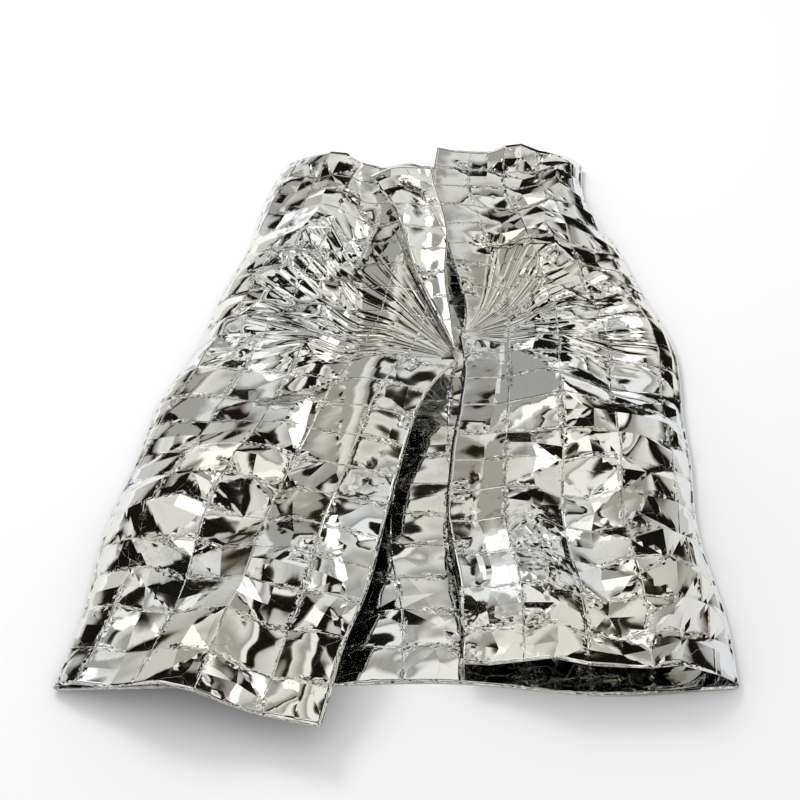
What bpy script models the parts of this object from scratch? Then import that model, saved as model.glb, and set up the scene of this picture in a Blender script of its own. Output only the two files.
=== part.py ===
"""Emergency foil blanket: one sheet of metallised film, laid down flat as a wrap.

Both fronts are folded in over the back and nearly meet at the middle, where the sheet was held
shut, and the upper edge of the left front lies turned back as a lapel. The sheet keeps the grid
of creases of its pocket pack, the long folds and the fans of pleats.
Metres, +Z up. The origin is the middle of the footprint, on the floor.
"""

import math
from collections import namedtuple

import bmesh
import bpy
import numpy as np
from mathutils import Vector

# The sheet as it was cut. Film place u runs along its length and v across its width.
FILM_LENGTH = 2.10
FILM_WIDTH = 1.60
SHEET_THICKNESS = 0.0015

# The pack creases divide the sheet into panels, and each panel has nodes at its corners,
# at the middles of its sides and near its own middle.
PANELS_LONG = 20
PANELS_WIDE = 20
LONG_CELLS = 2 * PANELS_LONG
WIDE_CELLS = 2 * PANELS_WIDE
CELL_LENGTH = FILM_LENGTH / LONG_CELLS
CELL_WIDTH = FILM_WIDTH / WIDE_CELLS
NODE_SLIDE = 0.22
CRUMPLE_SEED = 11

# How far the creases and crumples stand off the sheet.
ROW_SWELL = 0.0030
LENGTH_CREASE_RISE = 0.0040
WIDTH_CREASE_RISE = 0.0048
CRUMPLE_RISE = 0.0030
DENT_DEPTH = 0.0130
DENT_LEAST = 0.4
DENTED_SHARE = 0.26
CALM_SHARE = 0.3
SETTLED_DEPTH = 0.0040
RAISED_HEIGHT = 0.0080
BACK_MOST = 0.0115

# Shares of the panels whose diagonals meet at the middle, and from where they run one way.
TO_MIDDLE_BELOW = 0.45
ONE_WAY_FROM = 0.85
RISING_FROM = 0.92

# A cell's climb counts up to this share of its length, and the draw it causes is evened out.
CLIMB_LIMIT = 0.6
DRAW_PASSES = 6

# Each turn folds the film beyond a line over the rest of it. The lapel's goes the other way.
Turn = namedtuple("Turn", "from_u from_v to_u to_v radius lift lift_reach tip tip_start way")
LEFT_FRONT = Turn(-0.570, -0.80, -0.345, 0.80, 0.0081, 0.030, 0.06, 0.034, 0.30, 1)
RIGHT_FRONT = Turn(0.575, 0.80, 0.560, -0.80, 0.0081, 0.028, 0.05, 0.004, 0.30, 1)
LAPEL = Turn(-1.060, 0.06, -0.850, 0.80, 0.0045, 0.004, 0.03, 0.032, 0.03, -1)
TIP_REACH = 0.13
HEM_DROOP = 0.45
HEM_DEPTH = 0.20
TURN_SEGMENTS = 3
TURN_STRIP = 0.1
FOLD_CLOSENESS = 0.0006
BACK_SPREAD = 0.07
FRONT_SPREAD = 0.60

# Beside these lines the film lies calm, because another layer rests close over it, and past
# the strip's width its room opens up at this slope.
RELEASE_SLOPE = 0.32
Calm = namedtuple("Calm", "from_u from_v to_u to_v spread width")
CALM_STRIPS = [
    Calm(-1.060, 0.06, -0.850, 0.80, 0.07, 0.21),
    Calm(1.000, 0.80, 1.140, -0.80, 0.09, 0.11),
]

# Long folds are tents over a line on the film, and their crests sharpen into creases.
LongFold = namedtuple("LongFold", "start_u start_v end_u end_v rise reach")
LONG_FOLDS = [
    LongFold(-0.95, 0.02, -0.62, -0.48, 0.066, 0.17),
    LongFold(-0.92, -0.30, -0.80, -0.80, 0.056, 0.12),
    LongFold(-0.88, 0.16, -0.52, 0.10, 0.046, 0.11),
    LongFold(-0.62, 0.66, -0.54, 0.26, 0.046, 0.12),
    LongFold(0.97, 0.00, 0.68, -0.34, 0.068, 0.16),
    LongFold(0.68, -0.34, 0.64, -0.80, 0.076, 0.13),
    LongFold(0.92, -0.30, 0.90, -0.80, 0.042, 0.10),
    LongFold(0.64, 0.66, 0.86, 0.28, 0.050, 0.12),
]

# The cut edges curl up in places.
LIFTED_EDGES = [
    LongFold(-1.05, -0.60, -1.05, -0.50, 0.030, 0.10),
    LongFold(1.05, -0.52, 1.05, -0.40, 0.034, 0.10),
    LongFold(-0.90, -0.80, -0.84, -0.80, 0.026, 0.08),
    LongFold(0.74, -0.80, 0.86, -0.80, 0.032, 0.10),
    LongFold(0.80, 0.80, 0.90, 0.80, 0.030, 0.09),
    LongFold(-0.66, 0.80, -0.56, 0.80, 0.034, 0.10),
]

# A fan of pleats spreads from the place on each short side where the sheet was held shut.
Fan = namedtuple("Fan", "u v inward reach squeeze pleats")
PleatEdge = namedtuple("PleatEdge", "degrees share")
LEFT_PLEATS = [
    PleatEdge(-66, 0.0),
    PleatEdge(-48, 0.8),
    PleatEdge(-30, 0.0),
    PleatEdge(-10, 1.0),
    PleatEdge(4, 0.0),
    PleatEdge(14, 0.9),
    PleatEdge(23, 0.1),
    PleatEdge(31, 1.0),
    PleatEdge(39, 0.0),
    PleatEdge(47, 0.8),
    PleatEdge(56, 0.0),
]
RIGHT_PLEATS = [
    PleatEdge(-62, 0.0),
    PleatEdge(-42, 0.8),
    PleatEdge(-22, 0.0),
    PleatEdge(-4, 0.9),
    PleatEdge(10, 0.0),
    PleatEdge(21, 1.0),
    PleatEdge(31, 0.1),
    PleatEdge(41, 0.9),
    PleatEdge(51, 0.0),
    PleatEdge(61, 0.9),
    PleatEdge(72, 0.0),
]
FANS = [
    Fan(-FILM_LENGTH / 2, 0.12, 1, 0.44, 0.17, LEFT_PLEATS),
    Fan(FILM_LENGTH / 2, 0.06, -1, 0.36, 0.15, RIGHT_PLEATS),
]
PLEATS_START = 0.055
PLEATS_RISE = 0.05
PLEATS_FADE = 0.16
FAN_CALM = 0.6
FAN_CALM_REACH = 1.2
SNAP_TO_CREASE = 0.004

# The wrap narrows to the top, and its sides and ends wander in slow waves.
TOP_TAPER = 0.22
TAPER_FROM = -0.1
TAPER_OVER = 0.9
Wave = namedtuple("Wave", "size pace start")
SIDE_WAVES = [Wave(0.012, 6, 0.6), Wave(0.005, 17, 0)]
END_WAVES = [Wave(0.010, 5, 2.0), Wave(0.005, 13, 0)]


def smooth_step(value):
    """From 0 to 1 with level ends."""
    value = np.clip(value, 0, 1)
    return value * value * (3 - 2 * value)


def outward(turn):
    """The direction on the film from a turn's line towards what it folds over."""
    run_u, run_v = turn.to_u - turn.from_u, turn.to_v - turn.from_v
    length = math.hypot(run_u, run_v)
    return -run_v / length, run_u / length


def past_line(u, v, turn):
    """How far a place on the film lies past a turn's line."""
    out_u, out_v = outward(turn)
    return (u - turn.from_u) * out_u + (v - turn.from_v) * out_v


def turn_angle(u, v, turn):
    """From 0 before the line to half a turn where the film lies back over itself."""
    return np.clip(past_line(u, v, turn) / turn.radius, 0, math.pi)


def tent(u, v, fold):
    """A straight fold: highest on its line, and falling evenly to nothing at its reach."""
    run_u = fold.end_u - fold.start_u
    run_v = fold.end_v - fold.start_v
    along = ((u - fold.start_u) * run_u + (v - fold.start_v) * run_v) / (run_u**2 + run_v**2)
    along = np.clip(along, 0, 1)
    away = np.hypot(u - fold.start_u - along * run_u, v - fold.start_v - along * run_v)
    return fold.rise * np.clip(1 - away / fold.reach, 0, None)


def film_nodes():
    """Film place and relief of each node: creases, crumples, long folds and lifted edges."""
    i, j = np.meshgrid(np.arange(LONG_CELLS + 1), np.arange(WIDE_CELLS + 1), indexing="ij")
    chance = np.random.default_rng(CRUMPLE_SEED)
    slide_u, slide_v = chance.uniform(-NODE_SLIDE, NODE_SLIDE, (2, *i.shape))
    crumple = np.clip(chance.normal(0, 1, i.shape), -2, 2)
    dented = (chance.random(i.shape) < DENTED_SHARE) & (i % 2 == 0) & (j % 2 == 0)

    # Nodes on a crease slide along it alone.
    u = (i + np.where(i % 2, slide_u, 0)) * CELL_LENGTH - FILM_LENGTH / 2
    v = (j + np.where(j % 2, slide_v, 0)) * CELL_WIDTH - FILM_WIDTH / 2

    # Rows swell between their creases, and creases both ways rise and fall by turns.
    rise = ROW_SWELL * np.where(j % 2, 1, -1) + LENGTH_CREASE_RISE * np.cos(np.pi * i / 2)
    rise = rise + WIDTH_CREASE_RISE * np.cos(np.pi * j / 2)
    patches = np.sin(7.1 * u + 3.3 * v + 0.9) * np.cos(6.3 * v - 3.7 * u + 0.4)
    busy = CALM_SHARE + smooth_step(0.4 + 0.9 * patches)
    dent = DENT_DEPTH * dented * (DENT_LEAST + (1 - DENT_LEAST) * busy)
    rise = rise + CRUMPLE_RISE * crumple * busy - dent
    folds = [tent(u, v, fold) for fold in LONG_FOLDS + LIFTED_EDGES]
    return u, v, rise + np.max(folds, axis=0)


def rising_diagonals():
    """Which way each cell's diagonal runs: across its panel's middle, round it, or one way."""
    chance = np.random.default_rng(CRUMPLE_SEED + 1)
    pattern = np.repeat(np.repeat(chance.random((PANELS_LONG, PANELS_WIDE)), 2, axis=0), 2, axis=1)
    i, j = np.meshgrid(np.arange(LONG_CELLS), np.arange(WIDE_CELLS), indexing="ij")
    to_middle = (i + j) % 2 == 0
    rising = np.where(pattern < TO_MIDDLE_BELOW, to_middle, ~to_middle)
    return np.where(pattern > ONE_WAY_FROM, pattern > RISING_FROM, rising)


def draw_in(rise):
    """How far the relief draws each node in towards the sheet's middle, along and across."""
    shifts = []
    for axis, step in ((0, CELL_LENGTH), (1, CELL_WIDTH)):
        climb = np.minimum(np.abs(np.diff(rise, axis=axis)), CLIMB_LIMIT * step)
        lost = np.cumsum(step - np.sqrt(step**2 - climb**2), axis=axis)
        lost = np.concatenate([np.zeros_like(np.take(lost, [0], axis=axis)), lost], axis=axis)
        shift = np.take(lost, [lost.shape[axis] // 2], axis=axis) - lost
        for _ in range(DRAW_PASSES):
            padded = np.pad(shift, [(1, 1) if a != axis else (0, 0) for a in (0, 1)], mode="edge")
            low, mid, high = (
                np.take(padded, range(k, k + shift.shape[1 - axis]), axis=1 - axis) for k in (0, 1, 2)
            )
            shift = (low + 2 * mid + high) / 4
        shifts.append(shift)
    return shifts


def node_value(grid, u, v):
    """A value between the nodes, read off evenly from the four round it."""
    i = np.clip((u + FILM_LENGTH / 2) / CELL_LENGTH, 0, LONG_CELLS - 1e-6)
    j = np.clip((v + FILM_WIDTH / 2) / CELL_WIDTH, 0, WIDE_CELLS - 1e-6)
    i0, j0 = i.astype(int), j.astype(int)
    a, b = i - i0, j - j0
    near = grid[i0, j0] * (1 - a) + grid[i0 + 1, j0] * a
    far = grid[i0, j0 + 1] * (1 - a) + grid[i0 + 1, j0 + 1] * a
    return near * (1 - b) + far * b


def squeeze_share(away, fan):
    """How much of a fan's squeeze acts at a distance from its centre."""
    return fan.squeeze * smooth_step(1 - away / fan.reach)


def pleat_rise(u, v, fan):
    """Height of a fan's pleats: as wide as their place allows, and as steep as the gathering."""
    away = np.hypot(u - fan.u, v - fan.v)
    degrees = np.degrees(np.arctan2(v - fan.v, (u - fan.u) * fan.inward))
    angles = [edge.degrees for edge in fan.pleats]
    share = np.interp(degrees, angles, [edge.share for edge in fan.pleats])
    half_width = away * math.radians(angles[-1] - angles[0]) / (len(angles) - 1)
    fade = smooth_step((away - PLEATS_START) / PLEATS_RISE)
    fade = fade * smooth_step((fan.reach - away) / PLEATS_FADE)
    return share * fade * half_width * math.sqrt(1 / (1 - fan.squeeze) ** 2 - 1)


def relief(u, v, rise):
    """Height off the sheet's own lie, upwards on whichever side of the film is up."""
    for fan in FANS:
        away = np.hypot(u - fan.u, v - fan.v)
        rise = rise * (1 - FAN_CALM * smooth_step(FAN_CALM_REACH - away / fan.reach))
        rise = rise + pleat_rise(u, v, fan)
    past = np.maximum(past_line(u, v, LEFT_FRONT), past_line(u, v, RIGHT_FRONT))
    on_back = np.minimum(BACK_MOST, FOLD_CLOSENESS - BACK_SPREAD * past)
    bend = math.pi * LEFT_FRONT.radius
    on_front = FOLD_CLOSENESS + FRONT_SPREAD * np.maximum(past - bend, 0)
    rise = np.where(past > 0, rise + RAISED_HEIGHT, rise - SETTLED_DEPTH)
    rise = np.minimum(rise, np.where(past > 0, on_front, on_back))
    for strip in CALM_STRIPS:
        past = past_line(u, v, strip)
        beyond = np.maximum(past - math.pi * LAPEL.radius, 0) + np.maximum(-past, 0)
        released = RELEASE_SLOPE * np.maximum(-past - strip.width, 0)
        rise = np.minimum(rise, FOLD_CLOSENESS + strip.spread * beyond + released)
    return np.clip(rise, 0, None)


def turn_over(u, v, z, turn):
    """Past its line the film goes round the fold and back over itself, lifting away from it."""
    past = past_line(u, v, turn)
    angle = turn_angle(u, v, turn)
    over = np.maximum(past - math.pi * turn.radius, 0)
    droop = 1 - HEM_DROOP * smooth_step(1 - (v + FILM_WIDTH / 2) / HEM_DEPTH)
    lift = turn.lift * (1 - np.exp(-over / turn.lift_reach)) * droop
    lift = lift + turn.tip * smooth_step((over - turn.tip_start) / TIP_REACH) * droop
    out = np.minimum(past, 0) + turn.radius * np.sin(angle) - over
    out_u, out_v = outward(turn)
    height = turn.way * (turn.radius * (1 - np.cos(angle)) + lift) + z * np.cos(angle)
    step = out - past - turn.way * z * np.sin(angle)
    return u + step * out_u, v + step * out_v, height


def gather(u, v, fan):
    """Angles round a fan's centre close up, which draws in the cut edge beside it."""
    across, up = (u - fan.u) * fan.inward, v - fan.v
    away, angle = np.hypot(across, up), np.arctan2(up, across)
    angle = angle * (1 - squeeze_share(away, fan))
    return fan.u + fan.inward * away * np.cos(angle), fan.v + away * np.sin(angle)


def wander(place, waves):
    """The sum of a few slow waves."""
    return sum(wave.size * np.sin(wave.pace * place + wave.start) for wave in waves)


def settle(x, y, shifts):
    """The relief draws the sheet in, it narrows to the top, and its sides wander a little."""
    drawn_x, drawn_y = (node_value(shift, x, y) for shift in shifts)
    taper = 1 - TOP_TAPER * smooth_step((y - TAPER_FROM) / TAPER_OVER)
    return (x + drawn_x) * taper + wander(y, SIDE_WAVES), y + drawn_y + wander(x, END_WAVES)


def lay_out(u, v, rise, shifts):
    """From film place and relief to the place on the floor, before it is centred."""
    z = relief(u, v, rise)
    for turn in (LEFT_FRONT, RIGHT_FRONT, LAPEL):
        z = z * np.cos(turn_angle(u, v, turn))
    u, v, z = turn_over(u, v, z, LAPEL)
    for fan in FANS:
        u, v = gather(u, v, fan)
    for turn in (LEFT_FRONT, RIGHT_FRONT):
        u, v, z = turn_over(u, v, z, turn)
    return *settle(u, v, shifts), z


def cut_crease(bm, point, direction, wanted):
    """Splits the wanted faces along a straight line on the film, so that a crease can run there."""
    faces = [face for face in bm.faces if wanted(face.calc_center_median())]
    edges = {edge for face in faces for edge in face.edges}
    corners = {corner for face in faces for corner in face.verts}
    bmesh.ops.bisect_plane(
        bm,
        geom=[*faces, *edges, *corners],
        dist=SNAP_TO_CREASE,
        plane_co=(*point, 0),
        plane_no=(-direction[1], direction[0], 0),
        use_snap_center=True,
    )


def crease_fans(bm):
    """Cuts the line of each pleat's crest and valley."""
    for fan in FANS:
        for edge in fan.pleats:
            angle = math.radians(edge.degrees)
            direction = Vector((fan.inward * math.cos(angle), math.sin(angle)))

            def on_ray(place, fan=fan, direction=direction):
                out = Vector((place.x - fan.u, place.y - fan.v))
                return out.dot(direction) > 0 and PLEATS_START < out.length < fan.reach

            cut_crease(bm, (fan.u, fan.v), direction, on_ray)


def crease_turns(bm):
    """Cuts the lines on which each turn bends."""
    for turn in (LEFT_FRONT, RIGHT_FRONT, LAPEL):
        out_u, out_v = outward(turn)

        def near_line(place, turn=turn):
            return abs(past_line(place.x, place.y, turn)) < TURN_STRIP

        for step in range(TURN_SEGMENTS + 1):
            out = math.pi * turn.radius * step / TURN_SEGMENTS
            point = (turn.from_u + out * out_u, turn.from_v + out * out_v)
            cut_crease(bm, point, (-out_v, out_u), near_line)


def film_mesh():
    """The sheet as a mesh of triangles, with its creases along their edges."""
    bm = bmesh.new()
    bmesh.ops.create_grid(bm, x_segments=LONG_CELLS, y_segments=WIDE_CELLS, size=0.5)
    film_u, film_v, rise = film_nodes()
    rising = rising_diagonals()
    ways = {True: [], False: []}
    for face in bm.faces:
        place = face.calc_center_median()
        i = int((place.x + 0.5) * LONG_CELLS)
        j = int((place.y + 0.5) * WIDE_CELLS)
        ways[bool(rising[i, j])].append(face)
    for corner in bm.verts:
        i = round((corner.co.x + 0.5) * LONG_CELLS)
        j = round((corner.co.y + 0.5) * WIDE_CELLS)
        corner.co = (film_u[i, j], film_v[i, j], rise[i, j])
    bmesh.ops.triangulate(bm, faces=ways[True], quad_method="FIXED")
    bmesh.ops.triangulate(bm, faces=ways[False], quad_method="ALTERNATE")
    crease_fans(bm)
    crease_turns(bm)
    bmesh.ops.triangulate(bm, faces=bm.faces[:], quad_method="BEAUTY", ngon_method="BEAUTY")

    mesh = bpy.data.meshes.new("foil_sheet")
    bm.to_mesh(mesh)
    bm.free()
    places = np.empty(len(mesh.vertices) * 3)
    mesh.vertices.foreach_get("co", places)
    places = places.reshape(-1, 3)
    shifts = draw_in(rise)
    x, y, z = lay_out(*places.T, shifts)
    node_x, node_y, _ = lay_out(film_u, film_v, rise, shifts)
    x = x - (node_x.min() + node_x.max()) / 2
    y = y - (node_y.min() + node_y.max()) / 2
    mesh.vertices.foreach_set("co", np.stack([x, y, z], axis=1).ravel())
    mesh.update()
    return mesh


def foil_material():
    """Bare metallised film, near a mirror."""
    material = bpy.data.materials.new("foil")
    material.use_nodes = True
    shader = material.node_tree.nodes["Principled BSDF"]
    shader.inputs["Base Color"].default_value = (0.80, 0.81, 0.79, 1)
    shader.inputs["Metallic"].default_value = 1
    shader.inputs["Roughness"].default_value = 0.10
    return material


def build():
    for leftover in list(bpy.data.objects):
        bpy.data.objects.remove(leftover)
    blanket = bpy.data.collections.new("foil_blanket")
    bpy.context.scene.collection.children.link(blanket)
    sheet = bpy.data.objects.new("foil_sheet", film_mesh())
    sheet.data.materials.append(foil_material())
    blanket.objects.link(sheet)
    wall = sheet.modifiers.new("film", "SOLIDIFY")
    wall.thickness = SHEET_THICKNESS
    wall.offset = 1


build()
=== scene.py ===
import math

import bpy
import numpy as np
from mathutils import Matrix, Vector


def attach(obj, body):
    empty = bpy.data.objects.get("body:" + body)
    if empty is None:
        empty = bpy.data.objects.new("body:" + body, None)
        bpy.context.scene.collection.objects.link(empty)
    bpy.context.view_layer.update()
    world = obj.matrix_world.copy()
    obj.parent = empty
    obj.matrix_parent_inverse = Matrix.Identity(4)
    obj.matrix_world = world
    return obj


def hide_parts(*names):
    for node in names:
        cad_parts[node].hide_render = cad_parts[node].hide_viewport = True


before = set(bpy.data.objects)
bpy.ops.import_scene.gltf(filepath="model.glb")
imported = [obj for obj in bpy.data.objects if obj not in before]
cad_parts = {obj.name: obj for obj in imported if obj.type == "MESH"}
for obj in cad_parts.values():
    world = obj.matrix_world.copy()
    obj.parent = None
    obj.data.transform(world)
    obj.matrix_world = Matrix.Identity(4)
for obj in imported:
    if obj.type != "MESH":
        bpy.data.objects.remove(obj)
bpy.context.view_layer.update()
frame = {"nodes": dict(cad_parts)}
print("frame loaded:", ", ".join(frame["nodes"]))


view = {
    "azimuth": 0.0,       # degrees, 0 looks along +Y
    "elevation": 42.0,    # degrees above the floor
    "distance": 2.90,     # m from the point looked at
    "lookAt": (0.0, -0.045, 0.03),
    "lens": 66.0,         # mm, on a 36 mm sensor
    "farthest": 60.0,     # m, as far as the camera sees
}


def makeCamera(v):
    # lookAt + distance * (sin turn * cos lift, -cos turn * cos lift, sin lift), facing lookAt
    turn, lift = math.radians(v["azimuth"]), math.radians(v["elevation"])
    back = Vector((math.sin(turn) * math.cos(lift), -math.cos(turn) * math.cos(lift), math.sin(lift)))
    lens = bpy.data.cameras.new("camera")
    lens.lens = v["lens"]
    lens.clip_end = v["farthest"]
    camera = bpy.data.objects.new("camera", lens)
    camera.location = Vector(v["lookAt"]) + back * v["distance"]
    camera.rotation_euler = (-back).to_track_quat("-Z", "Y").to_euler()
    bpy.context.scene.collection.objects.link(camera)
    bpy.context.scene.camera = camera
    print("camera placed")


makeCamera(view)


# the film as it was cut, its pack creases, and how far they stand off it
film = {
    "length": 2.10, "width": 1.60,
    "thickness": 0.0004,
    "panels": (20, 20),
    "cuts": (4, 4),          # fine cells along and across each half panel
    "fanCuts": (6, 7),       # and in the columns and rows that the fans reach
    "fanColumns": 0.62,      # m from the short sides
    "fanRows": (-0.08, 0.44),    # v from and to
    "slide": 0.22,           # share of a cell by which a crease node slides along its crease
    "seed": 11,
    "rowSwell": 0.0014,      # m, how far the middles of the rows stand up and their creases down
    "lengthCrease": 0.0026,  # m, rise and fall by turns from crease to crease along the length
    "widthCrease": 0.0070,   # m, and along the width
    "crumple": 0.0014,       # m, the usual chance rise of a node
    "crumpleMost": 2,        # times that, up or down
    "dentDepth": 0.0130,
    "dentedShare": 0.17,     # of the crossings
    "pillow": 0.0014,        # m, how far a panel bulges between its creases
    "pillowChance": (0.8, 0.7),    # shares of it: the mean and the spread
    "pillowLeast": -0.8, "pillowMost": 2.0,
    "calmRelief": 0.2, "calmDents": 0.3, "calmPillow": 0.3,    # shares left where it is calmest
    "settled": 0.0040,       # m, by which the relief of the back is lowered
    "raised": 0.0080,        # m, by which that of the fronts is raised
    "backMost": 0.0115,      # m, the most that the back stands up
    "diagonals": (0.45, 0.85, 0.92),    # of the panels, up to: to the middle, round it, falling
    "steepest": 0.6,         # rise over run, past which a step draws no more film in
    "smoothings": 6,         # of that draw, across its way
    "sharpAngle": 7.0,       # degrees, past which an edge shows as a crease
    "snap": 0.0015,          # m, within which a corner moves onto a fold's line
}

# a turn folds the film beyond the line (u0, v0) to (u1, v1) back over the rest of it
turns = {
    "leftFront": dict(u0=-0.570, v0=-0.80, u1=-0.345, v1=0.80, radius=0.0081,
                      lift=0.030, liftReach=0.06, tip=0.034, tipStart=0.30, way=1),
    "rightFront": dict(u0=0.575, v0=0.80, u1=0.560, v1=-0.80, radius=0.0081,
                       lift=0.028, liftReach=0.05, tip=0.004, tipStart=0.30, way=1),
    "lapel": dict(u0=-1.060, v0=0.06, u1=-0.850, v1=0.80, radius=0.0045,
                  lift=0.004, liftReach=0.03, tip=0.032, tipStart=0.03, way=-1),
}
folding = {
    "tipReach": 0.13,        # m over which a free edge lifts
    "hemDroop": 0.45,        # share of the lift that is lost at the hem
    "hemDepth": 0.20,        # m above the hem where all of it is back
    "segments": 5,           # flats round each half turn
    "rounded": 0.006,        # m beside a fold where the film bends without a crease
    "closeness": 0.0006,     # relief left right beside a fold
    "backSpread": 0.07, "frontSpread": 0.60, "release": 0.32,    # m of relief gained per m away
    "buckles": ((0.3, 0.8), (1.1, 2.2)),  # shares of frontSpread by turns, where the fronts rise
    "taper": 0.22,           # share of the width that is lost at the top
    "taperFrom": -0.1, "taperOver": 0.9,    # m
    "drawn": (0.008, 0.019),    # share of the length and width that the finest creases take up
    "sideWander": ((0.012, 6, 0.6), (0.005, 17, 0.0)),    # waves: size, radians per m, start
    "endWander": ((0.010, 5, 2.0), (0.005, 13, 0.0)),
}
# strips along a line where the film is calm: how much relief it gains per m away, and its width
calmStrips = [
    dict(u0=-1.060, v0=0.06, u1=-0.850, v1=0.80, spread=0.07, width=0.21),
    dict(u0=1.000, v0=0.80, u1=1.140, v1=-0.80, spread=0.09, width=0.11),
]

# long folds and lifted edges: start u, v, end u, v, rise, reach
longFolds = np.array([
    (-0.95, 0.02, -0.62, -0.48, 0.066, 0.17),
    (-0.92, -0.30, -0.80, -0.80, 0.056, 0.12),
    (-0.88, 0.16, -0.52, 0.10, 0.046, 0.11),
    (-0.62, 0.66, -0.54, 0.26, 0.046, 0.12),
    (0.97, 0.00, 0.68, -0.34, 0.068, 0.16),
    (0.68, -0.34, 0.64, -0.80, 0.076, 0.13),
    (0.92, -0.30, 0.90, -0.80, 0.042, 0.10),
    (0.64, 0.66, 0.86, 0.28, 0.050, 0.12),
    (-1.05, -0.60, -1.05, -0.50, 0.030, 0.10),
    (1.05, -0.52, 1.05, -0.40, 0.034, 0.10),
    (-0.90, -0.80, -0.84, -0.80, 0.026, 0.08),
    (0.74, -0.80, 0.86, -0.80, 0.032, 0.10),
    (0.80, 0.80, 0.90, 0.80, 0.030, 0.09),
    (-0.66, 0.80, -0.56, 0.80, 0.034, 0.10),
])

# calm and crumpled patches: slow waves of u and v, and places that stay nearly level
crumpling = {
    "waves": ((7.1, 3.3, 0.9), (-3.7, 6.3, 0.4)),    # radians per m of u and of v, start
    "calmest": 0.15, "span": 1.1,          # the share where it is calm, and how much more elsewhere
    "middle": 0.25, "contrast": 0.9,       # of the waves, before they are eased
    "quiet": ((-0.80, -0.14, 0.32), (0.84, -0.68, 0.30), (-0.74, -0.46, 0.20)),    # u, v, reach
}

# fans of pleats: the angles of their valleys and crests and how high each stands, how far the
# finer ones go, and the share of the crumples that is taken out
fans = {
    "left": dict(u=-1.05, v=0.12, inward=1, reach=0.44, squeeze=0.17, fineTo=(0.36, 0.66), calm=0.8,
                 angles=(-66, -48, -30, -10, 4, 14, 23, 31, 39, 47, 56),
                 shares=(0, 0.8, 0, 1.0, 0, 0.9, 0.1, 1.0, 0, 0.8, 0)),
    "right": dict(u=1.05, v=0.06, inward=-1, reach=0.36, squeeze=0.15, fineTo=(0.26, 0.46), calm=0.6,
                  angles=(-62, -42, -22, -4, 10, 21, 31, 41, 51, 61, 72),
                  shares=(0, 0.8, 0, 0.9, 0, 1.0, 0.1, 0.9, 0, 0.9, 0)),
}
pleats = {
    "start": 0.055,          # m from the fan's centre
    "startFade": 0.05, "endFade": 0.16,    # m over which they rise and sink
    "calmTo": 1.3,           # of a fan's reach, where crumples are calmed
}

# finer pleats between them, on the fans' upper sides
finePleats = {
    "perRadian": 18.0,
    "slope": 0.30,
    "from": (0.09, 0.17),                          # m from the fan's centre, as they rise
    "low": (-0.30, 0.0), "high": (1.05, 1.25),     # radians over the film's own rows
    "uneven": ((0.8, 9, 1.3), (0.5, 23, 0.0)),     # waves of the turns: size, per radian, start
    "lowest": 0.35, "standing": (13, 2.0, 20.0),   # height's wave: per radian, start, per m of v
    "rounds": 0.15,                                # share past which they have no sharp edge
}


def smoothStep(x):
    # 3x^2 - 2x^3, from 0 to 1 with level ends
    x = np.clip(x, 0, 1)
    return x * x * (3 - 2 * x)


def lineFrame(line):
    # unit vector across a line, towards its far side: its run turned a quarter to the left
    runU, runV = line["u1"] - line["u0"], line["v1"] - line["v0"]
    length = math.hypot(runU, runV)
    return -runV / length, runU / length


def pastLine(u, v, line):
    # distance beyond a line: (place - start) . across
    outU, outV = lineFrame(line)
    return (u - line["u0"]) * outU + (v - line["v0"]) * outV


def tents(u, v):
    # each long fold is rise * (1 - distance / reach), never below 0, and the highest one shows
    u0, v0, u1, v1, rise, reach = longFolds.T[:, :, None, None]
    runU, runV = u1 - u0, v1 - v0
    along = np.clip(((u - u0) * runU + (v - v0) * runV) / (runU**2 + runV**2), 0, 1)
    away = np.hypot(u - u0 - along * runU, v - v0 - along * runV)
    return (rise * np.clip(1 - away / reach, 0, None)).max(axis=0)


def patches(u, v):
    # sine of one slow wave * cosine of another, eased from the calmest share to the busiest one,
    # and down to 0 at the middle of each quiet place
    (u1, v1, start1), (u2, v2, start2) = crumpling["waves"]
    waves = np.sin(u1 * u + v1 * v + start1) * np.cos(v2 * v + u2 * u + start2)
    eased = smoothStep(crumpling["middle"] + crumpling["contrast"] * waves)
    busy = crumpling["calmest"] + crumpling["span"] * eased
    for middleU, middleV, reach in crumpling["quiet"]:
        busy = busy * smoothStep(np.hypot(u - middleU, v - middleV) / reach)
    return busy


def partlyBusy(busy, calm):
    # calm + (1 - calm) * busy
    return calm + (1 - calm) * busy


def creaseNodes():
    # nodes at panel corners, side middles and centres: creases rise and fall by turns as cosines,
    # rows swell between them, crossings are dented at random and crumples add to all
    long, wide = 2 * film["panels"][0], 2 * film["panels"][1]
    i, j = np.meshgrid(np.arange(long + 1), np.arange(wide + 1), indexing="ij")
    chance = np.random.default_rng(film["seed"])
    slideU, slideV = chance.uniform(-film["slide"], film["slide"], (2, *i.shape))
    crumple = np.clip(chance.normal(0, 1, i.shape), -film["crumpleMost"], film["crumpleMost"])
    dented = (chance.random(i.shape) < film["dentedShare"]) & (i % 2 == 0) & (j % 2 == 0)
    u = (i + np.where(i % 2, slideU, 0)) * film["length"] / long - film["length"] / 2
    v = (j + np.where(j % 2, slideV, 0)) * film["width"] / wide - film["width"] / 2
    rise = film["rowSwell"] * np.where(j % 2, 1, -1) + film["lengthCrease"] * np.cos(np.pi * i / 2)
    rise = rise + film["widthCrease"] * np.cos(np.pi * j / 2)
    busy = patches(u, v)
    rise = rise * partlyBusy(busy, film["calmRelief"]) + film["crumple"] * crumple * busy
    rise = rise - film["dentDepth"] * dented * partlyBusy(busy, film["calmDents"])
    return u, v, rise + tents(u, v), dented.astype(float)


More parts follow.
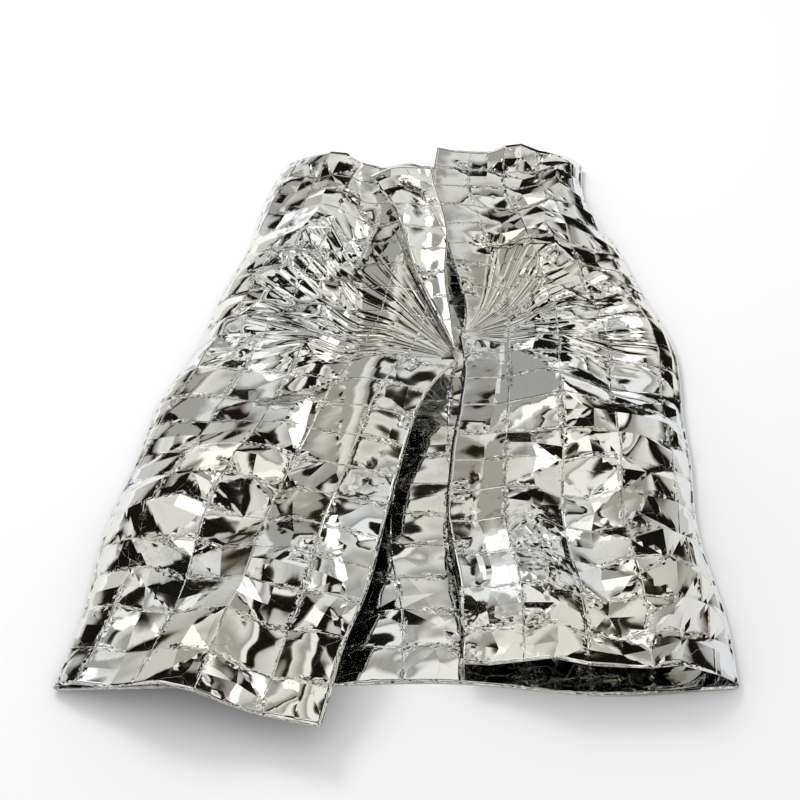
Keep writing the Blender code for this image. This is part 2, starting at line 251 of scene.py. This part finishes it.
def risingDiagonals():
    # per panel at random: diagonals that meet at its middle, ones that go round it, or all one way
    across, down = film["panels"]
    chance = np.random.default_rng(film["seed"] + 1)
    pattern = np.repeat(np.repeat(chance.random((across, down)), 2, axis=0), 2, axis=1)
    i, j = np.meshgrid(np.arange(2 * across), np.arange(2 * down), indexing="ij")
    toMiddle = (i + j) % 2 == 0
    middle, roundIt, falling = film["diagonals"]
    return np.where(pattern > roundIt, pattern > falling, np.where(pattern < middle, toMiddle, ~toMiddle))


def drawIn(rise):
    # a step that climbs dz covers sqrt(step^2 - dz^2): the loss adds up from the sheet's middle,
    # and is smoothed across
    shifts = []
    for axis, extent in enumerate((film["length"], film["width"])):
        step = extent / 2 / film["panels"][axis]
        climb = np.minimum(np.abs(np.diff(rise, axis=axis)), film["steepest"] * step)
        lost = np.cumsum(step - np.sqrt(step**2 - climb**2), axis=axis)
        lost = np.insert(lost, 0, 0, axis=axis)
        shift = np.take(lost, [lost.shape[axis] // 2], axis=axis) - lost
        for _ in range(film["smoothings"]):
            padded = np.pad(shift, [(1, 1) if a != axis else (0, 0) for a in (0, 1)], mode="edge")
            low, mid, high = (
                np.take(padded, range(k, k + shift.shape[1 - axis]), axis=1 - axis) for k in (0, 1, 2)
            )
            shift = (low + 2 * mid + high) / 4
        shifts.append(shift)
    return shifts


def betweenNodes(grid, u, v):
    # bilinear: the four nodes round a place, weighted by how near it is to each
    long, wide = 2 * film["panels"][0], 2 * film["panels"][1]
    i = np.clip((u / film["length"] + 0.5) * long, 0, long - 1e-6)
    j = np.clip((v / film["width"] + 0.5) * wide, 0, wide - 1e-6)
    i0, j0 = i.astype(int), j.astype(int)
    a, b = i - i0, j - j0
    near = grid[i0, j0] * (1 - a) + grid[i0 + 1, j0] * a
    far = grid[i0, j0 + 1] * (1 - a) + grid[i0 + 1, j0 + 1] * a
    return near * (1 - b) + far * b


def cellCuts():
    # how many fine cells each column and row of half panels gets
    long, wide = 2 * film["panels"][0], 2 * film["panels"][1]
    u = ((np.arange(long) + 0.5) / long - 0.5) * film["length"]
    v = ((np.arange(wide) + 0.5) / wide - 0.5) * film["width"]
    byFan = film["length"] / 2 - np.abs(u) < film["fanColumns"]
    inFan = (v > film["fanRows"][0]) & (v < film["fanRows"][1])
    return (
        np.where(byFan, film["fanCuts"][0], film["cuts"][0]),
        np.where(inFan, film["fanCuts"][1], film["cuts"][1]),
    )


def cutLines(cuts):
    # for each fine line, the half panel that holds it and its share of the way over it
    cell = np.repeat(np.arange(len(cuts)), cuts)
    share = (np.arange(len(cell)) - (np.cumsum(cuts) - cuts)[cell]) / cuts[cell]
    return np.append(cell, len(cuts) - 1), np.append(share, 1.0)


def onFacets(grid, rising, lines):
    # a cell's two flat triangles: node + a * step + b * step, by the side of the diagonal
    (i, a), (j, b) = lines
    i, a, j, b = i[:, None], a[:, None], j[None, :], b[None, :]
    p00, p10, p01, p11 = grid[i, j], grid[i + 1, j], grid[i, j + 1], grid[i + 1, j + 1]
    upward = np.where(
        a >= b, p00 + a * (p10 - p00) + b * (p11 - p10), p00 + b * (p01 - p00) + a * (p11 - p01)
    )
    downward = np.where(
        a + b <= 1,
        p00 + a * (p10 - p00) + b * (p01 - p00),
        p11 + (1 - a) * (p01 - p11) + (1 - b) * (p10 - p11),
    )
    return np.where(rising[i, j], upward, downward)


def panelPillows(lines):
    # 16 a (1 - a) b (1 - b) inside each panel, of its own height, lower where the film is calm
    chance = np.random.default_rng(film["seed"] + 2)
    size = chance.normal(*film["pillowChance"], film["panels"])
    size = film["pillow"] * np.clip(size, film["pillowLeast"], film["pillowMost"])
    middleU, middleV = (
        ((np.arange(count) + 0.5) / count - 0.5) * extent
        for count, extent in zip(film["panels"], (film["length"], film["width"]))
    )
    size = size * partlyBusy(patches(middleU[:, None], middleV[None, :]), film["calmPillow"])
    (i, a), (j, b) = lines
    i, a, j, b = i[:, None], a[:, None], j[None, :], b[None, :]
    a, b = (i % 2 + a) / 2, (j % 2 + b) / 2
    return 16 * a * (1 - a) * b * (1 - b) * size[i // 2, j // 2]


def wavesOf(place, waves):
    # the sum of size * sin(rate * place + start)
    return sum(size * np.sin(rate * place + start) for size, rate, start in waves)


def fanPlace(u, v, fan):
    # distance and angle round a fan's centre, the angle up from straight in
    across, up = (u - fan["u"]) * fan["inward"], v - fan["v"]
    return np.hypot(across, up), np.arctan2(up, across)


def fanShare(u, v, fan):
    # 1 where the finer pleats stand, and 0 beyond
    away, angle = fanPlace(u, v, fan)
    ramps = (
        (finePleats["from"], away, 0), (fan["fineTo"], away, 1),
        (finePleats["low"], angle, 0), (finePleats["high"], angle, 1),
    )
    share = 1
    for (start, end), value, falling in ramps:
        ramp = smoothStep((value - start) / (end - start))
        share = share * (1 - ramp if falling else ramp)
    return share


def finePleatRise(u, v, fan):
    # a zigzag of the angle, its turns drawn uneven by slow waves, as high as its width allows
    away, angle = fanPlace(u, v, fan)
    turn = finePleats["perRadian"] * angle + wavesOf(angle, finePleats["uneven"])
    rate, start, perMetre = finePleats["standing"]
    stands = np.sin(rate * angle + start + fan["v"] * perMetre) ** 2
    stands = finePleats["lowest"] + (1 - finePleats["lowest"]) * stands
    width = away / finePleats["perRadian"]
    return np.abs(turn % 2 - 1) * stands * width * finePleats["slope"] * fanShare(u, v, fan)


def pleatRise(u, v, fan):
    # share * half width * tan(slope), where cos(slope) is what the squeeze leaves of the width
    away, angle = fanPlace(u, v, fan)
    share = np.interp(np.degrees(angle), fan["angles"], fan["shares"])
    span = math.radians(fan["angles"][-1] - fan["angles"][0])
    halfWidth = away * span / (len(fan["angles"]) - 1)
    fade = smoothStep((away - pleats["start"]) / pleats["startFade"])
    fade = fade * smoothStep((fan["reach"] - away) / pleats["endFade"])
    return share * fade * halfWidth * math.sqrt(1 / (1 - fan["squeeze"]) ** 2 - 1)


def buckled(u, v):
    # low and high shares by turns at the rows of half panels, at random on each of the two sides
    rows = np.arange(2 * film["panels"][1] + 1)
    low, high = folding["buckles"]
    chance = np.random.default_rng(film["seed"] + 3)
    highs, lows = (chance.uniform(*each, (2, len(rows))) for each in (high, low))
    shares = np.where(rows % 2, highs, lows)
    place = (v / film["width"] + 0.5) * rows[-1]
    return np.where(u < 0, np.interp(place, rows, shares[0]), np.interp(place, rows, shares[1]))


def roomFor(u, v):
    # how high the relief may stand: closeness at a fold line, growing with the distance from it
    past = np.maximum(pastLine(u, v, turns["leftFront"]), pastLine(u, v, turns["rightFront"]))
    onBack = np.minimum(film["backMost"], folding["closeness"] - folding["backSpread"] * past)
    bend = math.pi * turns["leftFront"]["radius"]
    onFront = folding["closeness"] + folding["frontSpread"] * buckled(u, v) * np.maximum(past - bend, 0)
    room = np.where(past > 0, onFront, onBack)
    for strip in calmStrips:
        past = pastLine(u, v, strip)
        beyond = np.maximum(past - math.pi * turns["lapel"]["radius"], 0) + np.maximum(-past, 0)
        released = folding["release"] * np.maximum(-past - strip["width"], 0)
        room = np.minimum(room, folding["closeness"] + strip["spread"] * beyond + released)
    return room


def settledRise(u, v, rise):
    # crumples calmed near the fans, lower on the back and higher on the fronts
    for fan in fans.values():
        away = np.hypot(u - fan["u"], v - fan["v"])
        rise = rise * (1 - fan["calm"] * smoothStep(pleats["calmTo"] - away / fan["reach"]))
    past = np.maximum(pastLine(u, v, turns["leftFront"]), pastLine(u, v, turns["rightFront"]))
    rise = np.where(past > 0, rise + film["raised"], rise - film["settled"])
    return np.clip(rise, 0, roomFor(u, v))


def fineRelief(u, v, rise):
    # the facets, plus the pleats of the fans, within the room
    for fan in fans.values():
        rise = rise + pleatRise(u, v, fan) + finePleatRise(u, v, fan)
    return np.clip(rise, 0, roomFor(u, v))


def turnAngle(u, v, turn):
    # distance past the line / radius, up to half a turn
    return np.clip(pastLine(u, v, turn) / turn["radius"], 0, math.pi)


def turnOver(u, v, z, turn):
    # round an arc, then back over the film while it lifts off it: lift (1 - exp(-d / reach)) + tip
    past, angle = pastLine(u, v, turn), turnAngle(u, v, turn)
    over = np.maximum(past - math.pi * turn["radius"], 0)
    droop = 1 - folding["hemDroop"] * smoothStep(1 - (v + film["width"] / 2) / folding["hemDepth"])
    lift = turn["lift"] * (1 - np.exp(-over / turn["liftReach"])) * droop
    lift = lift + turn["tip"] * smoothStep((over - turn["tipStart"]) / folding["tipReach"]) * droop
    out = np.minimum(past, 0) + turn["radius"] * np.sin(angle) - over
    outU, outV = lineFrame(turn)
    height = turn["way"] * (turn["radius"] * (1 - np.cos(angle)) + lift) + z * np.cos(angle)
    step = out - past - turn["way"] * z * np.sin(angle)
    return u + step * outU, v + step * outV, height


def gather(u, v, fan):
    # polar round the fan's centre: the angle shrinks by the squeeze, which fades with distance
    away, angle = fanPlace(u, v, fan)
    angle = angle * (1 - fan["squeeze"] * smoothStep(1 - away / fan["reach"]))
    return fan["u"] + fan["inward"] * away * np.cos(angle), fan["v"] + away * np.sin(angle)


def layOut(u, v, z, shifts):
    # lapel, fans and fronts in turn, then the draw of the relief, the taper and a slow wander
    for turn in turns.values():
        z = z * np.cos(turnAngle(u, v, turn))
    u, v, z = turnOver(u, v, z, turns["lapel"])
    for fan in fans.values():
        u, v = gather(u, v, fan)
    for name in ("leftFront", "rightFront"):
        u, v, z = turnOver(u, v, z, turns[name])
    taper = 1 - folding["taper"] * smoothStep((v - folding["taperFrom"]) / folding["taperOver"])
    x = (u + betweenNodes(shifts[0], u, v)) * taper * (1 - folding["drawn"][0])
    y = (v + betweenNodes(shifts[1], u, v)) * (1 - folding["drawn"][1])
    return x + wavesOf(v, folding["sideWander"]), y + wavesOf(u, folding["endWander"]), z


def fineTriangles(rising, cuts):
    # two per fine cell, along the diagonal of the facet pair that holds it
    fine = np.repeat(np.repeat(rising, cuts[0], axis=0), cuts[1], axis=1)
    long, wide = fine.shape
    corner = np.arange(long)[:, None] * (wide + 1) + np.arange(wide)[None, :]
    p00, p10, p01, p11 = corner, corner + wide + 1, corner + 1, corner + wide + 2
    first = np.where(fine[..., None], np.stack([p00, p10, p11], -1), np.stack([p00, p10, p01], -1))
    second = np.where(fine[..., None], np.stack([p00, p11, p01], -1), np.stack([p10, p11, p01], -1))
    return np.concatenate([first.reshape(-1, 3), second.reshape(-1, 3)])


def cutAlong(places, faces, line, past):
    # triangles that a line crosses are cut in three: a crossed side gets a point at the share of
    # its way where the distance from the line is 0, or its own end where that lies on the line
    outU, outV = lineFrame(line)
    distance = pastLine(places[:, 0], places[:, 1], line) - past
    near = np.abs(distance) < film["snap"]
    places[near, :2] -= distance[near, None] * (outU, outV)
    distance[near] = 0
    beyond = distance[faces] > 0
    crossed = beyond.any(axis=1) & ~beyond.all(axis=1)
    beyond, split = beyond[crossed], faces[crossed]
    lone = np.argmax(beyond == (beyond.sum(axis=1) == 1)[:, None], axis=1)
    a, b, c = np.take_along_axis(split, (lone[:, None] + np.arange(3)) % 3, axis=1).T
    sides = np.sort(np.concatenate([np.stack([a, b], -1), np.stack([a, c], -1)]), axis=1)
    sides, which = np.unique(sides, axis=0, return_inverse=True)
    p, q = sides.T
    share = (distance[p] / (distance[p] - distance[q]))[:, None]
    added = len(places) + np.arange(len(p))
    point = np.where(distance[p] == 0, p, np.where(distance[q] == 0, q, added))
    places = np.concatenate([places, places[p] + share * (places[q] - places[p])])
    ab, ac = point[which.ravel()].reshape(2, -1)
    pieces = [np.stack(corners, -1) for corners in ((a, ab, ac), (ab, b, c), (ab, c, ac))]
    faces = np.concatenate([faces[~crossed], *pieces])
    real = (faces[:, 0] != faces[:, 1]) & (faces[:, 1] != faces[:, 2]) & (faces[:, 2] != faces[:, 0])
    used, faces = np.unique(faces[real], return_inverse=True)
    return places[used], faces.reshape(-1, 3)


def makeFilm():
    # the facets of the nodes on a fine grid, cut along every fold, then laid out: x, y, z from u, v
    # and the relief, moved so that the footprint of the nodes is centred
    nodeU, nodeV, nodeRise, nodeDented = creaseNodes()
    rising, cuts = risingDiagonals(), cellCuts()
    lines = [cutLines(each) for each in cuts]
    shifts = drawIn(nodeRise)
    settled = settledRise(nodeU, nodeV, nodeRise)
    u, v, rise, crushed = (onFacets(grid, rising, lines) for grid in (nodeU, nodeV, settled, nodeDented))
    places = np.stack([u, v, rise + panelPillows(lines), crushed], -1).reshape(-1, 4)
    faces = fineTriangles(rising, cuts)
    for turn in turns.values():
        for past in np.linspace(0, math.pi * turn["radius"], folding["segments"] + 1):
            places, faces = cutAlong(places, faces, turn, past)
    u, v, rise, crushed = places.T
    x, y, z = layOut(u, v, fineRelief(u, v, rise), shifts)
    nodeX, nodeY, _ = layOut(nodeU, nodeV, fineRelief(nodeU, nodeV, settled), shifts)
    x = x - (nodeX.min() + nodeX.max()) / 2
    y = y - (nodeY.min() + nodeY.max()) / 2

    mesh = bpy.data.meshes.new("foilFilm")
    mesh.vertices.add(len(x))
    mesh.vertices.foreach_set("co", np.stack([x, y, z], -1).astype(np.float32).ravel())
    mesh.loops.add(faces.size)
    mesh.loops.foreach_set("vertex_index", faces.astype(np.int32).ravel())
    mesh.polygons.add(len(faces))
    mesh.polygons.foreach_set("loop_start", np.arange(0, faces.size, 3, dtype=np.int32))
    mesh.update(calc_edges=True)
    filmPlace = np.stack([u / film["length"] + 0.5, v / film["width"] + 0.5], -1)[faces.ravel()]
    mesh.uv_layers.new(name="film").uv.foreach_set("vector", filmPlace.astype(np.float32).ravel())
    mesh.attributes.new("crushed", "FLOAT", "POINT").data.foreach_set("value", crushed.astype(np.float32))
    mesh.polygons.foreach_set("use_smooth", np.ones(len(faces), dtype=bool))
    mesh.set_sharp_from_angle(angle=math.radians(film["sharpAngle"]))

    # the fine pleats and the folds stay rounded
    rounded = sum(fanShare(u, v, fan) for fan in fans.values()) > finePleats["rounds"]
    for turn in turns.values():
        past = pastLine(u, v, turn)
        rounded |= (past > -folding["rounded"]) & (past < math.pi * turn["radius"] + folding["rounded"])
    ends = np.empty(2 * len(mesh.edges), dtype=np.int32)
    mesh.edges.foreach_get("vertices", ends)
    sharp = np.empty(len(mesh.edges), dtype=bool)
    mesh.edges.foreach_get("use_edge_sharp", sharp)
    mesh.edges.foreach_set("use_edge_sharp", sharp & ~rounded[ends.reshape(-1, 2)].all(axis=1))

    piece = bpy.data.objects.new("foilFilm", mesh)
    bpy.context.scene.collection.objects.link(piece)
    wall = piece.modifiers.new("film", "SOLIDIFY")
    wall.thickness = film["thickness"]
    wall.offset = 1
    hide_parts("foil_sheet")
    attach(piece, "root")
    print("film laid out:", len(faces), "triangles a side")
    return piece


foilFilm = makeFilm()


class Wire:
    # a socket that can be added, taken away, multiplied and divided like a number
    def __init__(self, tree, socket):
        self.tree, self.socket = tree, socket

    def step(self, operation, *values):
        return node(self.tree, "ShaderNodeMath", {"operation": operation}, dict(enumerate(values)))

    def __add__(self, other):
        return self.step("ADD", self, other)

    def __sub__(self, other):
        return self.step("SUBTRACT", self, other)

    def __mul__(self, other):
        return self.step("MULTIPLY", self, other)

    def __truediv__(self, other):
        return self.step("DIVIDE", self, other)

    def __rsub__(self, other):
        return self.step("SUBTRACT", other, self)

    def __rtruediv__(self, other):
        return self.step("DIVIDE", other, self)

    __radd__, __rmul__ = __add__, __mul__

    def least(self, other):
        return self.step("MINIMUM", self, other)

    def most(self, other):
        return self.step("MAXIMUM", self, other)

    def zigzag(self, half):
        # 0 at every even multiple of half, and half at every odd one
        return self.step("PINGPONG", self, half)

    def ease(self, start, end):
        # from 0 at start to 1 at end, with level ends
        settings = {"interpolation_type": "SMOOTHSTEP"}
        return node(self.tree, "ShaderNodeMapRange", settings, {"Value": self, 1: start, 2: end})


def node(tree, kind, settings, values, output=0):
    # any node: its settings first, then a value or a link for each socket that is named or numbered
    made = tree.nodes.new(kind)
    for name, value in settings.items():
        if name == "stops":
            ramp = made.color_ramp.elements
            while len(ramp) < len(value):
                ramp.new(1)
            for stop, (place, colour) in zip(ramp, value):
                stop.position, stop.color = place, (*colour, 1)
        else:
            setattr(made, name, value)
    for name, value in values.items():
        if isinstance(value, Wire):
            tree.links.new(value.socket, made.inputs[name])
        else:
            made.inputs[name].default_value = value
    return Wire(tree, made.outputs[output] if made.outputs else None)


foil = {
    "colour": (0.805, 0.801, 0.760),
    "coolColour": (0.775, 0.796, 0.819),
    "shadeColour": (0.655, 0.648, 0.621),
    "roughness": 0.05, "crushedRoughness": 0.13,
    "creaseWidth": 0.0026, "creaseHeight": 0.00034,      # m
    "evenCrease": 0.25,                                  # share of the height where the creases are weakest
    "jitter": (160, 1.0, 0.0026),                        # scale, detail, m by which it wanders
    "fringe": (0.001, 0.009),                            # m from a crease, as its crumples fade
    "swells": (13, 1.0, 0.4, 0.0022),                    # scale, detail, roughness, m
    "bends": (9.0, 2.0, 0.05),                           # scale, detail, m by which facets shift
    "cells": (0.060, 0.021, 0.0085),                     # m, sizes of crumple facets
    "cellSlopes": (0.05, 0.15, 0.17),                    # rise over run of each size
    "everywhere": 0.25,                                  # share of the largest where it is smooth
    "dented": (0.20, 0.55),                              # of a dent, from and to full crumples
    "paintedShade": (0.8, 0.25),                                 # of the painted shade colour: creases, crumples
    "pleatTurns": 34.0,                                  # finest pleats per radian in the fans
    "pleatSlope": 0.26,
    "pleatUneven": (5.0, 6),                             # noise scale, turns it adds
    "pleatStands": (11.0, 0.35, 0.65),                   # noise scale, levels from and to
    "pleatAngles": ((-0.35, -0.05), (1.10, 1.30)),       # radians, as they start and end
    "pleatFrom": (0.02, 0.06), "pleatEnd": 0.24,         # m from the fan's centre
}
# noise that sets in by patches: scale, detail, roughness, levels from and to
foilPatches = {
    "crumpled": (2.7, 2.0, 0.5, 0.57, 0.70),
    "fine": (9.0, 2.0, 0.5, 0.44, 0.62),
    "strongCreases": (21, 2.0, 0.6, 0.3, 0.7),
    "fringed": (13, 2.0, 0.5, 0.45, 0.58),
    "cool": (3.4, 2.0, 0.5, 0.46, 0.62),
}


def makeFoil():
    # height = creases + fine pleats + swells + tilted facets, and it feeds one Bump node; the
    # colour goes from warm to cool by patches, and to a darker one on creases and crumples, as painted
    # shade
    material = bpy.data.materials.new("foil")
    material.use_nodes = True
    tree = material.node_tree
    tree.nodes.clear()

    uv = node(tree, "ShaderNodeUVMap", {"uv_map": "film"}, {})
    size = (film["length"], film["width"], 1)
    place = node(tree, "ShaderNodeVectorMath", {"operation": "MULTIPLY"}, {0: uv, 1: size})   # metres
    parts = node(tree, "ShaderNodeSeparateXYZ", {}, {0: place})
    x, y = parts, Wire(tree, parts.socket.node.outputs[1])
    crushed = node(tree, "ShaderNodeAttribute", {"attribute_name": "crushed"}, {}, output=2)

    def noise(scale, detail, rough=0.5, output=0):
        return node(tree, "ShaderNodeTexNoise", {},
                    {"Vector": place, "Scale": scale, "Detail": detail, "Roughness": rough}, output)

    def noiseAlong(value, scale):
        return node(tree, "ShaderNodeTexNoise", {"noise_dimensions": "1D"},
                    {"W": value, "Scale": scale, "Detail": 1.0})

    def patch(name):
        scale, detail, rough, start, full = foilPatches[name]
        return noise(scale, detail, rough).ease(start, full)

    def mixed(share, first, second):
        return node(tree, "ShaderNodeMix", {"data_type": "RGBA"}, {0: share, 6: first, 7: second}, output=2)

    # soft waves, and in the fans fine pleats: a zigzag of the angle, uneven in width and height
    scale, detail, rough, swell = foil["swells"]
    height, fanned = noise(scale, detail, rough) * swell, 0
    for fan in fans.values():
        acrossFan = (x - (fan["u"] + film["length"] / 2)) * fan["inward"]
        upFan = y - (fan["v"] + film["width"] / 2)
        squared = acrossFan * acrossFan + upFan * upFan
        away = squared.step("SQRT", squared)
        angle = upFan.step("ARCTAN2", upFan, acrossFan)
        scale, swing = foil["pleatUneven"]
        uneven = angle * foil["pleatTurns"] + noiseAlong(angle, scale) * swing
        scale, start, full = foil["pleatStands"]
        stands = noiseAlong(angle, scale).ease(start, full)
        ridge = uneven.zigzag(1) * stands * away * (foil["pleatSlope"] / foil["pleatTurns"])
        low, high = foil["pleatAngles"]
        within = angle.ease(*low) * (1 - angle.ease(*high))
        ending = away.ease(foil["pleatEnd"], fan["fineTo"][1])
        share = within * away.ease(*foil["pleatFrom"]) * (1 - ending)
        height = height + ridge * share
        fanned = share.most(fanned)
    still = 1 - fanned

    patchy = patch("crumpled") * still
    finePatchy = patch("fine")
    dent = crushed.ease(*foil["dented"]) * finePatchy

    # pack creases: the distance to the nearest panel side, as a narrow ridge of uneven height
    long, wide = film["length"] / film["panels"][0], film["width"] / film["panels"][1]
    scale, detail, wander = foil["jitter"]
    jitter = (noise(scale, detail) - 0.5) * wander
    toCrease = (x + jitter).zigzag(long / 2).least((y + jitter).zigzag(wide / 2))
    strongCreases = patch("strongCreases")
    crease = 1 - toCrease.ease(0, foil["creaseWidth"])
    stands = foil["evenCrease"] + strongCreases * (1 - foil["evenCrease"])
    height = height + crease * stands * foil["creaseHeight"]
    fringe = (1 - toCrease.ease(*foil["fringe"])) * patch("fringed")

    # crumples: cells that each tilt their own way, (place - middle) . tilt
    scale, detail, shift = foil["bends"]
    moved = node(tree, "ShaderNodeVectorMath", {"operation": "MULTIPLY_ADD"},
                 {0: noise(scale, detail, output=1), 1: (shift, shift, 0), 2: place})
    crumpled = patchy.most(dent)
    everywhere = foil["everywhere"] + crumpled * (1 - foil["everywhere"])
    masks = (everywhere, crumpled, (patchy * finePatchy).most(dent).most(fringe * still))
    for cell, slope, mask in zip(foil["cells"], foil["cellSlopes"], masks):
        facets = node(tree, "ShaderNodeTexVoronoi", {"feature": "F1", "voronoi_dimensions": "2D"},
                      {"Vector": moved, "Scale": 1 / cell}, output=1)
        middle = Wire(tree, facets.socket.node.outputs["Position"])
        off = node(tree, "ShaderNodeVectorMath", {"operation": "SUBTRACT"}, {0: moved, 1: middle})
        tilt = node(tree, "ShaderNodeVectorMath", {"operation": "SUBTRACT"},
                    {0: facets, 1: (0.5, 0.5, 0.5)})
        height = height + node(tree, "ShaderNodeVectorMath", {"operation": "DOT_PRODUCT"},
                               {0: off, 1: tilt}, output=1) * mask * (2 * slope)

    bump = node(tree, "ShaderNodeBump", {}, {"Height": height, "Distance": 1.0, "Strength": 1.0})
    rough = foil["roughness"] + (foil["crushedRoughness"] - foil["roughness"]) * masks[2]
    # painted shade: a darker colour along the strongest creases and over the crumples and dents
    creaseShading, crumpleShading = foil["paintedShade"]
    paintedShade = (crease * strongCreases * creaseShading).most(masks[2] * crumpleShading)
    colour = mixed(patch("cool"), (*foil["colour"], 1), (*foil["coolColour"], 1))
    colour = mixed(paintedShade, colour, (*foil["shadeColour"], 1))
    shader = node(tree, "ShaderNodeBsdfPrincipled", {},
                  {"Base Color": colour, "Metallic": 1.0, "Roughness": rough, "Normal": bump})
    node(tree, "ShaderNodeOutputMaterial", {}, {"Surface": shader})
    print("foil mixed")
    return material


foilFilm.data.materials.append(makeFoil())


studio = {
    "floorGrey": 0.90, "floorRoughness": 0.6,
    "floorSize": 60.0,           # m
    "floorDrop": 0.0006,         # m under the film
    "surround": 0.86,            # even light from all round
    "key": dict(place=(-1.6, 2.2, 2.8), size=(1.8, 1.2), watts=60),
    # what the foil mirrors: grey level by elevation in degrees
    "bands": ((0, 0.70), (7, 0.50), (10.5, 0.010), (24.5, 0.004), (26.5, 0.30), (30.5, 0.92), (38, 0.76),
              (42, 0.40), (45.2, 0.34), (46.0, 0.008), (48.8, 0.008), (49.8, 0.90), (55, 0.52), (57, 0.36),
              (59, 1.0), (64, 1.0), (65.5, 0.010), (78, 0.004), (80.5, 0.60), (90, 0.85)),
    "bandWave": 0.15, "bandTurns": 3.0, "bandStart": 0.6,    # radians up and down, waves, radians
    "tint": (1.0, 0.995, 0.95),          # of the mirrored light, from this level up
    "tintedFrom": 0.5,
    "darkTint": (1.22, 0.995, 0.703),    # the darker it is, the warmer
    "windowEdge": 0.8,                   # share of a window's half size where it starts to fade
    # bright windows in it: azimuth, elevation, half sizes, all in degrees, and level
    "windows": ((22, 36, 7, 9, 1.7), (-42, 47, 9, 12, 1.3), (60, 62, 14, 9, 1.2), (-120, 70, 30, 8, 1.1),
                (-22, 26, 13, 7, 0.42)),
}


def makeStudio():
    # a square floor, one soft lamp, and a world that foil mirrors as bands and windows: the grey
    # level at the elevation + a slow wave of the azimuth, or a window's where that is brighter
    floorMesh = bpy.data.meshes.new("floor")
    half, under = studio["floorSize"] / 2, -studio["floorDrop"]
    corners = [(x, y, under) for x, y in ((-half, -half), (half, -half), (half, half), (-half, half))]
    floorMesh.from_pydata(corners, [], [(0, 1, 2, 3)])
    floor = bpy.data.objects.new("floor", floorMesh)
    bpy.context.scene.collection.objects.link(floor)
    pale = bpy.data.materials.new("paleFloor")
    pale.use_nodes = True
    shader = pale.node_tree.nodes["Principled BSDF"]
    shader.inputs["Base Color"].default_value = (*(studio["floorGrey"],) * 3, 1)
    shader.inputs["Roughness"].default_value = studio["floorRoughness"]
    shader.inputs["Specular IOR Level"].default_value = 0
    floorMesh.materials.append(pale)

    key = studio["key"]
    lamp = bpy.data.lights.new("key", "AREA")
    lamp.shape = "RECTANGLE"
    lamp.size, lamp.size_y = key["size"]
    lamp.energy = key["watts"]
    softbox = bpy.data.objects.new("key", lamp)
    softbox.location = key["place"]
    softbox.rotation_euler = (-Vector(key["place"])).to_track_quat("-Z", "Y").to_euler()
    softbox.visible_glossy = False
    bpy.context.scene.collection.objects.link(softbox)

    world = bpy.data.worlds.new("studio")
    world.use_nodes = True
    bpy.context.scene.world = world
    tree = world.node_tree
    tree.nodes.clear()
    direction = node(tree, "ShaderNodeTexCoord", {}, {})
    parts = node(tree, "ShaderNodeSeparateXYZ", {}, {0: direction})
    outputs = parts.socket.node.outputs
    x, y, z = (Wire(tree, outputs[k]) for k in range(3))
    elevation = z.step("ARCSINE", z)
    around = x.step("ARCTAN2", x, y)
    turned = around * studio["bandTurns"] + studio["bandStart"]
    wave = turned.step("SINE", turned) * studio["bandWave"]
    stops = [(degrees / 90, (grey,) * 3) for degrees, grey in studio["bands"]]
    lit = node(tree, "ShaderNodeValToRGB", {"stops": stops}, {0: (elevation + wave) / (math.pi / 2)})
    for azimuth, height, halfWide, halfHigh, level in studio["windows"]:
        inside = level
        for angle, middle, reach in ((around, azimuth, halfWide), (elevation, height, halfHigh)):
            aside = angle - math.radians(middle)
            edge = math.radians(reach * studio["windowEdge"]), math.radians(reach)
            inside = (1 - aside.step("ABSOLUTE", aside).ease(*edge)) * inside
        lit = lit.most(inside)
    rays = node(tree, "ShaderNodeLightPath", {}, {}).socket.node.outputs
    direct, glossy = Wire(tree, rays["Is Camera Ray"]), Wire(tree, rays["Is Glossy Ray"])
    # where the camera looks past the floor it sees what the far floor sends back
    level = studio["surround"] * (1 - (1 - studio["floorGrey"]) * direct)
    even = node(tree, "ShaderNodeBackground", {}, {0: (1, 1, 1, 1), 1: level})
    tints = {6: (*studio["darkTint"], 1), 7: (*studio["tint"], 1)}
    tint = node(tree, "ShaderNodeMix", {"data_type": "RGBA"},
                {0: lit.ease(0.0, studio["tintedFrom"]), **tints}, output=2)
    bright = node(tree, "ShaderNodeBackground", {}, {0: tint, 1: lit})
    light = node(tree, "ShaderNodeMixShader", {}, {0: glossy, 1: even, 2: bright})
    node(tree, "ShaderNodeOutputWorld", {}, {"Surface": light})
    bpy.context.scene.view_settings.view_transform = "Standard"
    bpy.context.scene.cycles.caustics_reflective = False
    print("studio lit")


makeStudio()
